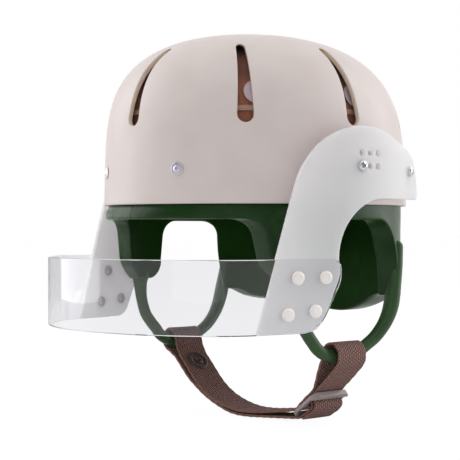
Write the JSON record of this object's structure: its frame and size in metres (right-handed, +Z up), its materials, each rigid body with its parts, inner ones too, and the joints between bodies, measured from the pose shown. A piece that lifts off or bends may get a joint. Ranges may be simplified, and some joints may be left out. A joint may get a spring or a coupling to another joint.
{
  "type": "hard shell helmet with face bar",
  "caption": "Slotted hard shell over a dipped foam liner with ear openings, a clear bar round the lower face on two side brackets, and a webbing chin strap with a slide and a snap.",
  "frame": {"origin": "centre of the shell's oval rim, in the plane of the rim", "axes": "+X to the wearer's left, -Y to the front of the face, +Z up to the crown"},
  "size_m": [0.2236, 0.2584, 0.2649],
  "materials": {
    "shell": "satin",
    "liner_skin": "satin",
    "rivet_metal": "satin",
    "crown_padding": "matte",
    "crown_trim": "matte",
    "milky_sheet": "satin",
    "clear_sheet": "gloss",
    "ivory_rivet": "satin",
    "webbing": "matte",
    "dark_snap": "satin",
    "slide_plastic": "satin"
  },
  "bodies": {
    "helmet": {"outer_shell": "shell", "shell_rivets": "rivet_metal", "rivet_washers": "rivet_metal", "foam_liner": "liner_skin", "ear_loop_left": "liner_skin", "ear_loop_right": "liner_skin", "crown_pad": "crown_padding", "crown_band": "crown_trim", "crown_discs": "crown_trim", "bracket_left": "milky_sheet", "bracket_right": "milky_sheet", "bracket_spacers": "milky_sheet", "bracket_screws": "rivet_metal", "bracket_nuts": "rivet_metal", "face_bar": "clear_sheet", "bar_rivets": "ivory_rivet", "bar_rivet_washers": "ivory_rivet"},
    "chin_strap": {"strap_lower_layer": "webbing", "strap_upper_layer": "webbing", "strap_right_turn": "webbing", "strap_left_turn": "webbing", "snap_stud": "dark_snap", "snap_post": "dark_snap"},
    "slide": {"slide_frame": "slide_plastic", "slide_fold": "webbing", "strap_tail": "webbing"},
    "snap": {"snap_cap": "dark_snap", "snap_socket": "dark_snap"}
  },
  "joints": [
    {"name": "chin_strap_swing", "type": "hinge", "parent": "helmet", "child": "chin_strap", "pos_m": [0, 0.001, -0.055], "axis": [1, 0, 0], "range_deg": [-35, 35], "deforming": ["strap_right_turn", "strap_left_turn"]},
    {"name": "slide_adjust", "type": "slide", "parent": "chin_strap", "child": "slide", "axis": [-0.997, 0, -0.0779], "range_m": [0, 0.022], "deforming": ["slide_fold", "strap_tail", "strap_left_turn"]},
    {"name": "snap_release", "type": "slide", "parent": "chin_strap", "child": "snap", "axis": [0.6833, 0, 0.7302], "range_m": [0, 0.004], "deforming": ["strap_upper_layer"]}
  ]
}
